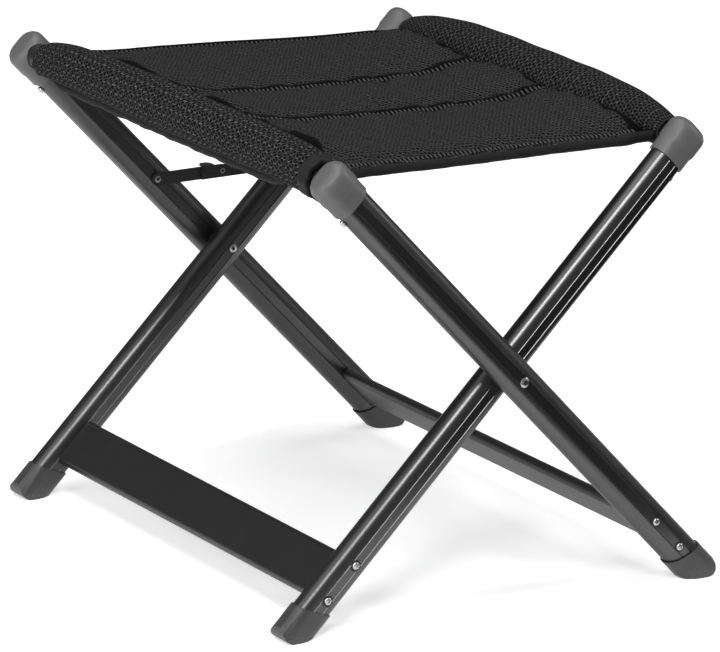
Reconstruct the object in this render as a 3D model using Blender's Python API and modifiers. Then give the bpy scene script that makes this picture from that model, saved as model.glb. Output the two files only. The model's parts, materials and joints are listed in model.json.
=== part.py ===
"""Folding camp stool: two hinged oval-tube frames, a padded fabric seat and a lock brace.

X runs from rail to rail, Y along the rails and the fold axis, Z up from the floor.
The outer frame has its rail at -X and its feet at +X, and the inner frame the other way
round. "near" pieces are on the -Y side, "far" pieces on the +Y side.
"""

import math

import bmesh
import bpy
from mathutils import Matrix, Vector

# Driving dimensions, in metres
LEG_TILT = math.radians(45.0)
PIVOT_HEIGHT = 0.195
LEG_WIDTH = 0.030
LEG_THICKNESS = 0.021
LEG_WALL = 0.0014
OUTER_LEG_Y = 0.2260
INNER_LEG_Y = 0.2012
GAP = 0.0003
ARC_STEPS = 8
ROUNDING_STEPS = 5
CUT_MARGIN = 0.0200
MERGE_DISTANCE = 0.00001
SHARP_ANGLE = math.radians(32.0)

# Stations along a leg, measured up from the fold axis
OUTER_TOP = 0.2720
INNER_TOP = 0.2560
LEG_BOTTOM = -0.2600
CROSSBAR_STATION = -0.2140
BOOT_RIM = -0.2440
BOOT_END = -0.3000
BRACE_STATION = 0.0885

# Distances below a connector's top
RAIL_DEPTH = 0.0135
LEG_END_DEPTH = 0.0280
RIM_DEPTH = 0.0360
CONNECTOR_SCREW_DEPTH = 0.0440

# Leg grooves
GROOVE_OFFSET = 0.0040
GROOVE_WIDTH = 0.0009
GROOVE_DEPTH = 0.0005

# Connectors
HUB_WIDTH = 0.0354
HUB_THICKNESS = 0.0270
COLLAR_WIDTH = 0.0338
COLLAR_THICKNESS = 0.0246
COLLAR_LENGTH = 0.0120
HUB_TAPER = 0.0025
HUB_ROUNDING = 0.0090
SPIGOT_LENGTH = 0.0280
SOCKET_FLOOR = 0.0035

# Rails, crossbars and plugs
RAIL_RADIUS = 0.0105
RAIL_WALL = 0.0015
RAIL_INSERTION = 0.0180
CROSSBAR_WIDTH = 0.0440
CROSSBAR_THICKNESS = 0.0100
CROSSBAR_WALL = 0.0013
CROSSBAR_SCREW_OFFSET = 0.0180
CROSSBAR_TURN = (math.pi / 2, math.pi / 2, 0.0)
PLUG_LENGTH = 0.0220

# Boots
BOOT_WIDTH = 0.0330
BOOT_THICKNESS = 0.0240
BOOT_RIM_TILT = math.radians(22.0)
TOE_RADIUS = 0.0100
HEEL_RADIUS = 0.0090

# Fasteners
SCREW_HEAD_RADIUS = 0.0032
SCREW_HEAD_HEIGHT = 0.0018
SCREW_SHANK_RADIUS = 0.0015
SCREW_HOLE_RADIUS = 0.0018
CONNECTOR_SCREW_LENGTH = 0.0080
CROSSBAR_SCREW_BITE = 0.0120
PIVOT_RADIUS = 0.0026
PIVOT_HEAD_RADIUS = 0.0042
PIVOT_HEAD_HEIGHT = 0.0016
PIVOT_BORE_RADIUS = 0.0015
PIVOT_BORE_DEPTH = 0.0060
SPACER_RADIUS = 0.0085
SCREW_PROFILE = ((0.0, 1.0), (0.62, 0.90), (0.90, 0.60), (1.0, 0.20), (1.0, 0.0))
RIVET_PROFILE = ((0.0, 1.0), (0.65, 0.85), (1.0, 0.30), (1.0, 0.0))
RIVET_TAIL_FLARE = 0.86
RIVET_TAIL_HEIGHT = 0.50
RIVET_LIP_FLARE = 1.25
RIVET_LIP_HEIGHT = 0.80
STUD_CROWN = 0.80
SCREW_STEPS = 12
RIVET_STEPS = 16
TUBE_STEPS = 24

# Lock brace
LINK_WIDTH = 0.0110
LINK_THICKNESS = 0.0012
LINK_TAIL = 0.0205
LINK_RIVET_RADIUS = 0.0018
LINK_HOLE_RADIUS = 0.0021
LINK_HEAD_RADIUS = 0.0034
LINK_HEAD_HEIGHT = 0.0005
LINK_BORE_RADIUS = 0.0009
OUTER_BORE_DEPTH = 0.0030
MIDDLE_BORE_DEPTH = 0.0015
MIDDLE_HEAD_RADIUS = 0.0027
LINK_TO_LEG_GAP = 0.0004
TAB_LENGTH = 0.0115
TAB_DEPTH = 0.0090
TAB_THICKNESS = 0.0012
TAB_SHOULDER = 0.6
TAB_CORNER = 0.25
MIDDLE_RIVET_X = 0.0015

# Seat
BOLSTER_RADIUS = 0.0200
BOLSTER_END_RADIUS = 0.0130
BOLSTER_LIFT = 0.0085
BOLSTER_TAPER = 0.0400
BOLSTER_CLEARANCE = 0.0040
BOLSTER_STEPS = 5
PANEL_TOP = 0.0080
PANEL_BOTTOM = -0.0040
PANEL_OUTER_HALF_WIDTH = 0.2060
PANEL_HALF_WIDTH = 0.1960
PANEL_NECK_HALF_WIDTH = 0.1835
PANEL_NECK_REACH = 0.0340
PANEL_SIDE_GAP = 0.0010

# Finishes: name, base colour, roughness and metallic
ANODISED = ("anodised_aluminium", (0.045, 0.047, 0.050), 0.34, 0.85)
CONNECTOR_PLASTIC = ("connector_plastic", (0.125, 0.125, 0.128), 0.55, 0.0)
BOOT_PLASTIC = ("boot_plastic", (0.075, 0.075, 0.078), 0.48, 0.0)
PLUG_PLASTIC = ("plug_plastic", (0.030, 0.030, 0.032), 0.60, 0.0)
STEEL = ("zinc_steel", (0.520, 0.520, 0.530), 0.32, 1.0)
BLACK_STEEL = ("black_steel", (0.030, 0.031, 0.034), 0.42, 0.6)
MESH_FABRIC = ("spacer_mesh_fabric", (0.012, 0.012, 0.013), 0.90, 0.0)


# Scene helpers

def clear_scene():
    for old in list(bpy.data.objects):
        bpy.data.objects.remove(old, do_unlink=True)


def new_collection(name):
    collection = bpy.data.collections.new(name)
    bpy.context.scene.collection.children.link(collection)
    return collection


def material(finish):
    name, colour, roughness, metallic = finish
    found = bpy.data.materials.get(name)
    if found:
        return found
    made = bpy.data.materials.new(name)
    made.use_nodes = True
    shader = made.node_tree.nodes["Principled BSDF"]
    shader.inputs["Base Color"].default_value = (*colour, 1.0)
    shader.inputs["Roughness"].default_value = roughness
    shader.inputs["Metallic"].default_value = metallic
    return made


def add_empty(name, location, rotation=(0.0, 0.0, 0.0), parent=None):
    empty = bpy.data.objects.new(name, None)
    empty.location = location
    empty.rotation_euler = rotation
    empty.parent = parent
    PARTS.objects.link(empty)
    return empty


def add_part(name, mesh, finish, parent, location=(0.0, 0.0, 0.0), rotation=(0.0, 0.0, 0.0)):
    mesh.materials.clear()
    mesh.materials.append(material(finish))
    mesh.shade_smooth()
    mesh.set_sharp_from_angle(angle=SHARP_ANGLE)
    part = bpy.data.objects.new(name, mesh)
    part.parent = parent
    part.location = location
    part.rotation_euler = rotation
    PARTS.objects.link(part)
    return part


def add_cutter(name, mesh, parent, location=(0.0, 0.0, 0.0), rotation=(0.0, 0.0, 0.0)):
    cutter = bpy.data.objects.new(name, mesh)
    cutter.parent = parent
    cutter.location = location
    cutter.rotation_euler = rotation
    cutter.hide_render = True
    cutter.display_type = "WIRE"
    CUTTERS.objects.link(cutter)
    return cutter


def boolean(part, cutter, operation="DIFFERENCE"):
    modifier = part.modifiers.new(cutter.name, "BOOLEAN")
    modifier.operation = operation
    modifier.solver = "EXACT"
    modifier.object = cutter
    return modifier


# Outlines

def arc(centre, radius, start, end, steps):
    points = []
    for step in range(steps + 1):
        angle = start + (end - start) * step / steps
        points.append((centre[0] + radius * math.cos(angle), centre[1] + radius * math.sin(angle)))
    return points


def flat_oval(width, thickness):
    """Outline with flat long sides along X and fully round ends."""
    radius = thickness / 2
    reach = width / 2 - radius
    right = arc((reach, 0.0), radius, -math.pi / 2, math.pi / 2, ARC_STEPS)
    left = arc((-reach, 0.0), radius, math.pi / 2, 3 * math.pi / 2, ARC_STEPS)
    return right + left


def grooved_oval(width, thickness):
    """Flat oval with two shallow grooves in each flat side."""
    radius = thickness / 2
    reach = width / 2 - radius
    outline = arc((reach, 0.0), radius, -math.pi / 2, math.pi / 2, ARC_STEPS)
    outline += groove(GROOVE_OFFSET, radius, -1.0)
    outline += groove(-GROOVE_OFFSET, radius, -1.0)
    outline += arc((-reach, 0.0), radius, math.pi / 2, 3 * math.pi / 2, ARC_STEPS)
    outline += groove(-GROOVE_OFFSET, -radius, 1.0)
    outline += groove(GROOVE_OFFSET, -radius, 1.0)
    return outline


def groove(centre, level, direction):
    half = GROOVE_WIDTH / 2
    floor = level - GROOVE_DEPTH * math.copysign(1.0, level)
    return [(centre - half * direction, level), (centre, floor), (centre + half * direction, level)]


def extruded(outlines, low, high):
    """Mesh of a filled flat outline, with holes, from z = low to z = high."""
    curve = bpy.data.curves.new("outline", "CURVE")
    curve.dimensions = "2D"
    curve.fill_mode = "BOTH"
    curve.extrude = (high - low) / 2
    for outline in outlines:
        spline = curve.splines.new("POLY")
        spline.points.add(len(outline) - 1)
        for point, place in zip(spline.points, outline):
            point.co = (place[0], place[1], 0.0, 1.0)
        spline.use_cyclic_u = True
    guide = bpy.data.objects.new("outline", curve)
    CUTTERS.objects.link(guide)
    depsgraph = bpy.context.evaluated_depsgraph_get()
    mesh = bpy.data.meshes.new_from_object(guide.evaluated_get(depsgraph))
    bpy.data.objects.remove(guide, do_unlink=True)
    bpy.data.curves.remove(curve)
    weld(mesh)
    mesh.transform(Matrix.Translation((0.0, 0.0, (high + low) / 2)))
    return mesh


def weld(mesh):
    solid = bmesh.new()
    solid.from_mesh(mesh)
    bmesh.ops.remove_doubles(solid, verts=solid.verts, dist=MERGE_DISTANCE)
    bmesh.ops.recalc_face_normals(solid, faces=solid.faces)
    solid.to_mesh(mesh)
    solid.free()


def cylinders(places, steps=SCREW_STEPS):
    """One mesh of separate closed cylinders, each (centre, axis, radius, length)."""
    solid = bmesh.new()
    for centre, axis, radius, length in places:
        turn = Vector((0.0, 0.0, 1.0)).rotation_difference(Vector(axis)).to_matrix().to_4x4()
        bmesh.ops.create_cone(
            solid, cap_ends=True, segments=steps, radius1=radius, radius2=radius, depth=length,
            matrix=Matrix.Translation(centre) @ turn)
    mesh = bpy.data.meshes.new("cylinders")
    solid.to_mesh(mesh)
    solid.free()
    return mesh


def turned(profile, steps, closed=False):
    """Mesh of a profile of (radius, height) points, run top to bottom and turned about Z."""
    mesh = bpy.data.meshes.new("profile")
    edges = [(index, index + 1) for index in range(len(profile) - 1)]
    if closed:
        edges.append((len(profile) - 1, 0))
    mesh.from_pydata([(radius, 0.0, height) for radius, height in profile], edges, [])
    guide = bpy.data.objects.new("profile", mesh)
    CUTTERS.objects.link(guide)
    screw = guide.modifiers.new("turn", "SCREW")
    screw.axis = "Z"
    screw.steps = steps
    screw.render_steps = steps
    screw.use_merge_vertices = True
    screw.merge_threshold = MERGE_DISTANCE
    depsgraph = bpy.context.evaluated_depsgraph_get()
    result = bpy.data.meshes.new_from_object(guide.evaluated_get(depsgraph))
    bpy.data.objects.remove(guide, do_unlink=True)
    weld(result)
    return result


# Legs

def make_leg(name, frame, y, top, underside, brace_hole):
    """Oval tube of a frame; the frame's local z runs up the leg and x across it."""
    outlines = [
        grooved_oval(LEG_WIDTH, LEG_THICKNESS),
        flat_oval(LEG_WIDTH - 2 * LEG_WALL, LEG_THICKNESS - 2 * LEG_WALL),
    ]
    tube = extruded(outlines, LEG_BOTTOM, top - LEG_END_DEPTH)
    leg = add_part(name, tube, ANODISED, frame, (0.0, y, 0.0))
    across = LEG_THICKNESS + 2 * CUT_MARGIN
    holes = [((0.0, 0.0, 0.0), (0, 1, 0), PIVOT_RADIUS + GAP, across)]
    for offset in (-CROSSBAR_SCREW_OFFSET, CROSSBAR_SCREW_OFFSET):
        place = (0.0, 0.0, CROSSBAR_STATION + offset)
        holes.append((place, (0, 1, 0), SCREW_HOLE_RADIUS, across))
    side = (underside * LEG_WIDTH / 2, 0.0, top - CONNECTOR_SCREW_DEPTH)
    holes.append((side, (1, 0, 0), SCREW_HOLE_RADIUS, 4 * LEG_WALL))
    if brace_hole:
        holes.append(((0.0, 0.0, BRACE_STATION), (0, 1, 0), LINK_HOLE_RADIUS, across))
    boolean(leg, add_cutter(name + "_holes", cylinders(holes), frame, (0.0, y, 0.0)))


# Connectors

def capped_loft(rings, rounding):
    """Flat-oval column through rings of (station, width, thickness), with a rounded top."""
    solid = bmesh.new()
    station, width, thickness = rings[0]
    bottom = [solid.verts.new((x, y, station)) for x, y in flat_oval(width, thickness)]
    face = solid.faces.new(reversed(bottom))
    for next_station, next_width, next_thickness in rings[1:]:
        raised = bmesh.ops.extrude_face_region(solid, geom=[face], use_keep_orig=True)["geom"]
        verts = [item for item in raised if isinstance(item, bmesh.types.BMVert)]
        scale = (next_width / width, next_thickness / thickness, 1.0)
        bmesh.ops.scale(solid, vec=scale, verts=verts)
        bmesh.ops.translate(solid, vec=(0.0, 0.0, next_station - station), verts=verts)
        if station != rings[0][0]:
            solid.faces.remove(face)
        face = next(item for item in raised if isinstance(item, bmesh.types.BMFace))
        station, width, thickness = next_station, next_width, next_thickness
    bmesh.ops.recalc_face_normals(solid, faces=solid.faces)
    top_edges = list(face.edges)
    bmesh.ops.bevel(
        solid, geom=top_edges, offset=rounding, segments=ROUNDING_STEPS, profile=0.5,
        affect="EDGES", clamp_overlap=True)
    bmesh.ops.recalc_face_normals(solid, faces=solid.faces)
    mesh = bpy.data.meshes.new("loft")
    solid.to_mesh(mesh)
    solid.free()
    return mesh


def make_connector(name, frame, y, top, underside):
    """Cap over the leg's top end, with a spigot inside the leg and a blind rail socket."""
    rim = top - RIM_DEPTH
    rings = [
        (rim, COLLAR_WIDTH, COLLAR_THICKNESS),
        (rim + COLLAR_LENGTH, COLLAR_WIDTH, COLLAR_THICKNESS),
        (rim + COLLAR_LENGTH + HUB_TAPER, HUB_WIDTH, HUB_THICKNESS),
        (top, HUB_WIDTH, HUB_THICKNESS),
    ]
    place = (0.0, y, 0.0)
    connector = add_part(name, capped_loft(rings, HUB_ROUNDING), CONNECTOR_PLASTIC, frame, place)

    sleeve = flat_oval(LEG_WIDTH + 2 * GAP, LEG_THICKNESS + 2 * GAP)
    spigot_width = LEG_WIDTH - 2 * LEG_WALL - 2 * GAP
    spigot_thickness = LEG_THICKNESS - 2 * LEG_WALL - 2 * GAP
    spigot = flat_oval(spigot_width, spigot_thickness)
    seat = extruded([sleeve, spigot], rim - CUT_MARGIN, top - LEG_END_DEPTH + GAP)
    boolean(connector, add_cutter(name + "_leg_seat", seat, frame, place))

    solid_spigot = extruded([spigot], rim - SPIGOT_LENGTH, rim + COLLAR_LENGTH / 2)
    boolean(connector, add_cutter(name + "_spigot", solid_spigot, frame, place), "UNION")

    inward = -math.copysign(1.0, y)
    floor = -inward * (HUB_THICKNESS / 2 - SOCKET_FLOOR)
    mouth = inward * (HUB_THICKNESS / 2 + CUT_MARGIN)
    middle = (0.0, (floor + mouth) / 2, top - RAIL_DEPTH)
    socket = (middle, (0, 1, 0), RAIL_RADIUS + GAP, abs(mouth - floor))
    boolean(connector, add_cutter(name + "_socket", cylinders([socket], TUBE_STEPS), frame, place))

    depth = CONNECTOR_SCREW_LENGTH
    place_on_edge = (underside * LEG_WIDTH / 2, 0.0, top - CONNECTOR_SCREW_DEPTH)
    pilot = (place_on_edge, (1, 0, 0), SCREW_HOLE_RADIUS, 2 * depth + 2 * GAP)
    boolean(connector, add_cutter(name + "_pilot", cylinders([pilot]), frame, place))


# Rails, crossbars and their plugs

def make_rail(name, frame, leg_y, top):
    reach = leg_y - HUB_THICKNESS / 2 + RAIL_INSERTION
    inner = RAIL_RADIUS - RAIL_WALL
    profile = [(RAIL_RADIUS, reach), (RAIL_RADIUS, -reach), (inner, -reach), (inner, reach)]
    rail = turned(profile, TUBE_STEPS, closed=True)
    turn = (math.pi / 2, 0.0, 0.0)
    add_part(name, rail, ANODISED, frame, (0.0, 0.0, top - RAIL_DEPTH), turn)


def make_crossbar(name, frame, leg_y):
    """Flat-oval bar between the legs' inner faces, its wide face along the legs."""
    reach = leg_y - LEG_THICKNESS / 2 - GAP
    outlines = [
        flat_oval(CROSSBAR_WIDTH, CROSSBAR_THICKNESS),
        flat_oval(CROSSBAR_WIDTH - 2 * CROSSBAR_WALL, CROSSBAR_THICKNESS - 2 * CROSSBAR_WALL),
    ]
    add_part(name, extruded(outlines, -reach, reach), ANODISED, frame,
             (0.0, 0.0, CROSSBAR_STATION), CROSSBAR_TURN)


def make_plug(name, frame, leg_y, side):
    """Plastic plug inside a crossbar's end, which the crossbar screws bite into."""
    width = CROSSBAR_WIDTH - 2 * CROSSBAR_WALL - 2 * GAP
    thickness = CROSSBAR_THICKNESS - 2 * CROSSBAR_WALL - 2 * GAP
    end = leg_y - LEG_THICKNESS / 2 - 2 * GAP
    place = (0.0, side * (end - PLUG_LENGTH / 2), CROSSBAR_STATION)
    block = extruded([flat_oval(width, thickness)], -PLUG_LENGTH / 2, PLUG_LENGTH / 2)
    plug = add_part(name, block, PLUG_PLASTIC, frame, place, CROSSBAR_TURN)
    pilots = []
    for offset in (-CROSSBAR_SCREW_OFFSET, CROSSBAR_SCREW_OFFSET):
        pilots.append(((0.0, 0.0, offset), (0, 1, 0), SCREW_HOLE_RADIUS, PLUG_LENGTH + CUT_MARGIN))
    boolean(plug, add_cutter(name + "_pilots", cylinders(pilots), frame, place))


# Boots

def sole_outline():
    """Side view of the space a boot may fill: flat on the floor, rounded at heel and toe.

    It is drawn for a foot at +X, in x and z about the point where the leg's axis meets the
    floor. The heel is the blunt corner on the inside, the toe the sharp one on the outside.
    """
    slope = LEG_TILT
    half = BOOT_WIDTH / 2 / math.cos(slope)
    rise = 3 * CUT_MARGIN
    toe_run = TOE_RADIUS / math.tan((math.pi / 2 - slope) / 2)
    heel_run = HEEL_RADIUS / math.tan((math.pi / 2 + slope) / 2)
    toe_centre = (half - toe_run, TOE_RADIUS)
    heel_centre = (-half + heel_run, HEEL_RADIUS)
    wide = half + CUT_MARGIN
    outline = arc(heel_centre, HEEL_RADIUS, slope - math.pi, -math.pi / 2, ARC_STEPS)
    outline += arc(toe_centre, TOE_RADIUS, -math.pi / 2, slope, 2 * ARC_STEPS)
    outline.append((wide - rise * math.tan(slope), rise))
    outline.append((-wide - rise * math.tan(slope), rise))
    return outline


def tilt_rim(column, direction):
    """Slant a column's top so that it is lower on the boot's toe side."""
    for vertex in column.vertices:
        if vertex.co.z > (BOOT_RIM + BOOT_END) / 2:
            vertex.co.z -= direction * vertex.co.x * math.tan(BOOT_RIM_TILT)


def make_boot(name, frame, y, direction):
    """Plastic shoe on a leg's bottom end, with a flat sole and rounded heel and toe."""
    column = extruded([flat_oval(BOOT_WIDTH, BOOT_THICKNESS)], BOOT_END, BOOT_RIM)
    tilt_rim(column, direction)
    boot = add_part(name, column, BOOT_PLASTIC, frame, (0.0, y, 0.0))
    foot_x = direction * PIVOT_HEIGHT * math.tan(LEG_TILT)
    sole = extruded([sole_outline()], -BOOT_THICKNESS, BOOT_THICKNESS)
    stand = Matrix.Rotation(math.pi / 2, 4, "X")
    sole.transform(stand)
    if direction < 0:
        sole.transform(Matrix.Scale(-1.0, 4, (1.0, 0.0, 0.0)))
        sole.flip_normals()
    boolean(boot, add_cutter(name + "_sole", sole, None, (foot_x, y, 0.0)), "INTERSECT")
    pocket = flat_oval(LEG_WIDTH + 2 * GAP, LEG_THICKNESS + 2 * GAP)
    cavity = extruded([pocket], LEG_BOTTOM - GAP, BOOT_RIM + CUT_MARGIN)
    boolean(boot, add_cutter(name + "_pocket", cavity, frame, (0.0, y, 0.0)))


# Fasteners

def screw_mesh(length):
    """Pan-head screw along -Z, its head's flat underside at z = 0."""
    profile = [(SCREW_HEAD_RADIUS * across, SCREW_HEAD_HEIGHT * up) for across, up in SCREW_PROFILE]
    profile += [(SCREW_SHANK_RADIUS, 0.0), (SCREW_SHANK_RADIUS, -length), (0.0, -length)]
    return turned(profile, SCREW_STEPS)


def make_crossbar_screw(name, frame, leg_y, side, offset):
    place = (0.0, side * (leg_y + LEG_THICKNESS / 2 + GAP), CROSSBAR_STATION + offset)
    length = LEG_THICKNESS + CROSSBAR_SCREW_BITE
    turn = (-side * math.pi / 2, 0.0, 0.0)
    add_part(name, screw_mesh(length), STEEL, frame, place, turn)


def make_connector_screw(name, frame, y, top, underside):
    place = (underside * (LEG_WIDTH / 2 + GAP), y, top - CONNECTOR_SCREW_DEPTH)
    turn = (0.0, underside * math.pi / 2, 0.0)
    add_part(name, screw_mesh(CONNECTOR_SCREW_LENGTH), STEEL, frame, place, turn)


def rivet_mesh(grip, radius, head_radius, head_height, bore_radius, bore_depth):
    """Semi-tubular rivet along -Z: domed head above z = 0, rolled hollow tail below -grip."""
    flare = head_radius * RIVET_TAIL_FLARE
    tail = -grip - head_height * RIVET_TAIL_HEIGHT
    lip = -grip - head_height * RIVET_LIP_HEIGHT
    profile = [(head_radius * across, head_height * up) for across, up in RIVET_PROFILE]
    profile += [(radius, 0.0), (radius, -grip), (flare, -grip), (flare, tail)]
    profile += [(bore_radius * RIVET_LIP_FLARE, lip), (bore_radius, tail)]
    profile += [(bore_radius, tail + bore_depth), (0.0, tail + bore_depth)]
    return turned(profile, RIVET_STEPS)


def stud_mesh(length, radius, head_radius, head_height):
    """Plain rivet along -Z with a flat round head, ending flush with what it goes through."""
    profile = [
        (0.0, head_height),
        (head_radius * STUD_CROWN, head_height),
        (head_radius, 0.0),
        (radius, 0.0),
        (radius, -length),
        (0.0, -length),
    ]
    return turned(profile, RIVET_STEPS)


def make_pivot_rivet(name, side):
    start = OUTER_LEG_Y + LEG_THICKNESS / 2 + GAP
    end = INNER_LEG_Y - LEG_THICKNESS / 2 - GAP
    mesh = rivet_mesh(start - end, PIVOT_RADIUS, PIVOT_HEAD_RADIUS, PIVOT_HEAD_HEIGHT,
                      PIVOT_BORE_RADIUS, PIVOT_BORE_DEPTH)
    add_part(name, mesh, STEEL, PIVOT, (0.0, side * start, 0.0), (-side * math.pi / 2, 0.0, 0.0))


def make_pivot_spacer(name, side):
    """Washer between the two legs on a pivot rivet."""
    half = (OUTER_LEG_Y - INNER_LEG_Y - LEG_THICKNESS) / 2 - GAP
    hole = PIVOT_RADIUS + GAP
    profile = [(SPACER_RADIUS, half), (SPACER_RADIUS, -half), (hole, -half), (hole, half)]
    place = (0.0, side * (OUTER_LEG_Y + INNER_LEG_Y) / 2, 0.0)
    add_part(name, turned(profile, TUBE_STEPS, closed=True), PLUG_PLASTIC, PIVOT, place,
             (math.pi / 2, 0.0, 0.0))


# Lock brace

def link_outline(tail, reach):
    """Flat bar from x = -tail, square there when it has a tail, to a round end at x = reach."""
    radius = LINK_WIDTH / 2
    outline = arc((reach, 0.0), radius, -math.pi / 2, math.pi / 2, ARC_STEPS)
    if tail > 0.0:
        outline += [(-tail, radius), (-tail, -radius)]
    else:
        outline += arc((0.0, 0.0), radius, math.pi / 2, 3 * math.pi / 2, ARC_STEPS)
    return outline


def hole_outline(x, radius):
    return arc((x, 0.0), radius, 0.0, 2 * math.pi * (1 - 1 / SCREW_STEPS), SCREW_STEPS - 1)


def make_link(name, pivot, y, tail, length):
    """Brace link with an eye at its pivot and another at its end, in the X-Z plane."""
    outlines = [link_outline(tail, length), hole_outline(0.0, LINK_HOLE_RADIUS)]
    outlines.append(hole_outline(length, LINK_HOLE_RADIUS))
    mesh = extruded(outlines, -LINK_THICKNESS / 2, LINK_THICKNESS / 2)
    return add_part(name, mesh, BLACK_STEEL, pivot, (0.0, y, 0.0), (math.pi / 2, 0.0, 0.0))


def add_thumb_tab(link, pivot, y):
    """Tab folded back over the other link's top edge: it stops and releases the brace."""
    low = y - LINK_THICKNESS / 2
    outline = [
        (-LINK_TAIL, low),
        (-LINK_TAIL + TAB_LENGTH, low),
        (-LINK_TAIL + TAB_LENGTH, low + TAB_DEPTH * TAB_SHOULDER),
        (-LINK_TAIL + TAB_LENGTH * (1 - TAB_CORNER), low + TAB_DEPTH),
        (-LINK_TAIL + TAB_LENGTH * TAB_CORNER, low + TAB_DEPTH),
        (-LINK_TAIL, low + TAB_DEPTH * TAB_SHOULDER),
    ]
    base = LINK_WIDTH / 2
    plate = extruded([outline], base, base + TAB_THICKNESS)
    boolean(link, add_cutter(link.name + "_tab", plate, pivot), "UNION")
    root_outline = [
        (-LINK_TAIL, low),
        (-LINK_TAIL + TAB_LENGTH, low),
        (-LINK_TAIL + TAB_LENGTH, low + LINK_THICKNESS),
        (-LINK_TAIL, low + LINK_THICKNESS),
    ]
    root = extruded([root_outline], base - LINK_THICKNESS, base + TAB_THICKNESS / 2)
    boolean(link, add_cutter(link.name + "_tab_root", root, pivot), "UNION")


def make_brace():
    """Two links on the far side, straight when the stool is open, that fold upwards."""
    reach = BRACE_STATION * math.sin(LEG_TILT)
    height = PIVOT_HEIGHT + BRACE_STATION * math.cos(LEG_TILT)
    outer_link_y = OUTER_LEG_Y - LEG_THICKNESS / 2 - LINK_TO_LEG_GAP - LINK_THICKNESS / 2
    inner_link_y = outer_link_y - LINK_THICKNESS - GAP
    outer_pivot = add_empty("brace_outer_pivot", (-reach, 0.0, height))
    middle_pivot = add_empty("brace_middle_pivot", (MIDDLE_RIVET_X, 0.0, height))
    make_link("brace_link_outer", outer_pivot, outer_link_y, 0.0, reach + MIDDLE_RIVET_X)
    inner_length = reach - MIDDLE_RIVET_X
    inner_link = make_link("brace_link_inner", middle_pivot, inner_link_y, LINK_TAIL, inner_length)
    add_thumb_tab(inner_link, middle_pivot, inner_link_y)
    make_outer_brace_rivet(outer_link_y)
    make_middle_brace_rivet(middle_pivot, outer_link_y, inner_link_y)
    make_inner_brace_rivet()


def make_outer_brace_rivet(link_y):
    start = OUTER_LEG_Y + LEG_THICKNESS / 2 + GAP
    end = link_y - LINK_THICKNESS / 2 - GAP / 2
    mesh = rivet_mesh(start - end, LINK_RIVET_RADIUS, LINK_HEAD_RADIUS, LINK_HEAD_HEIGHT,
                      LINK_BORE_RADIUS, OUTER_BORE_DEPTH)
    place = (0.0, start, BRACE_STATION)
    add_part("brace_rivet_outer", mesh, STEEL, OUTER, place, (-math.pi / 2, 0.0, 0.0))


def make_middle_brace_rivet(pivot, outer_link_y, inner_link_y):
    start = outer_link_y + LINK_THICKNESS / 2 + GAP / 4
    end = inner_link_y - LINK_THICKNESS / 2 - GAP / 4
    mesh = rivet_mesh(start - end, LINK_RIVET_RADIUS, MIDDLE_HEAD_RADIUS, GAP / 2,
                      LINK_BORE_RADIUS, MIDDLE_BORE_DEPTH)
    place = (0.0, start, 0.0)
    add_part("brace_rivet_middle", mesh, STEEL, pivot, place, (-math.pi / 2, 0.0, 0.0))


def make_inner_brace_rivet():
    place = (0.0, INNER_LEG_Y - LEG_THICKNESS / 2 - GAP, BRACE_STATION)
    mesh = stud_mesh(LEG_THICKNESS, LINK_RIVET_RADIUS, LINK_HEAD_RADIUS, LINK_HEAD_HEIGHT)
    add_part("brace_rivet_inner", mesh, STEEL, INNER, place, (math.pi / 2, 0.0, 0.0))


# Seat

def bolster_outline(reach):
    """Points (radius, height) down a bolster's outer side, slimmer towards both ends."""
    upper = []
    for step in range(BOLSTER_STEPS + 1):
        share = step / BOLSTER_STEPS
        swell = math.sin(share * math.pi / 2)
        radius = BOLSTER_END_RADIUS + (BOLSTER_RADIUS - BOLSTER_END_RADIUS) * swell
        upper.append((radius, reach - BOLSTER_TAPER * share))
    lower = [(radius, -height) for radius, height in reversed(upper)]
    return upper + lower


def make_bolster(name, frame, leg_y, top, underside):
    """Padded sleeve round a rail, slimmer towards the connectors and fuller on its upper side."""
    reach = leg_y - HUB_THICKNESS / 2 - BOLSTER_CLEARANCE
    bore = RAIL_RADIUS + GAP
    profile = bolster_outline(reach) + [(bore, -reach), (bore, reach)]
    mesh = turned(profile, TUBE_STEPS, closed=True)
    upward = Vector((-underside * math.sin(LEG_TILT), math.cos(LEG_TILT), 0.0))
    for vertex in mesh.vertices:
        radius = math.hypot(vertex.co.x, vertex.co.y)
        swell = (radius - BOLSTER_END_RADIUS) / (BOLSTER_RADIUS - BOLSTER_END_RADIUS)
        vertex.co += upward * BOLSTER_LIFT * max(0.0, swell)
    add_part(name, mesh, MESH_FABRIC, frame, (0.0, 0.0, top - RAIL_DEPTH), (math.pi / 2, 0.0, 0.0))


def make_outer_panel(hinge, half_span):
    """Half of the padded seat panel from the outer bolster to the middle fold."""
    start = BOLSTER_RADIUS + PANEL_SIDE_GAP
    end = half_span - GAP / 2
    outline = [
        (start, -PANEL_OUTER_HALF_WIDTH),
        (end, -PANEL_HALF_WIDTH),
        (end, PANEL_HALF_WIDTH),
        (start, PANEL_OUTER_HALF_WIDTH),
    ]
    add_part("seat_panel_outer", extruded([outline], PANEL_BOTTOM, PANEL_TOP), MESH_FABRIC, hinge)


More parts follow.
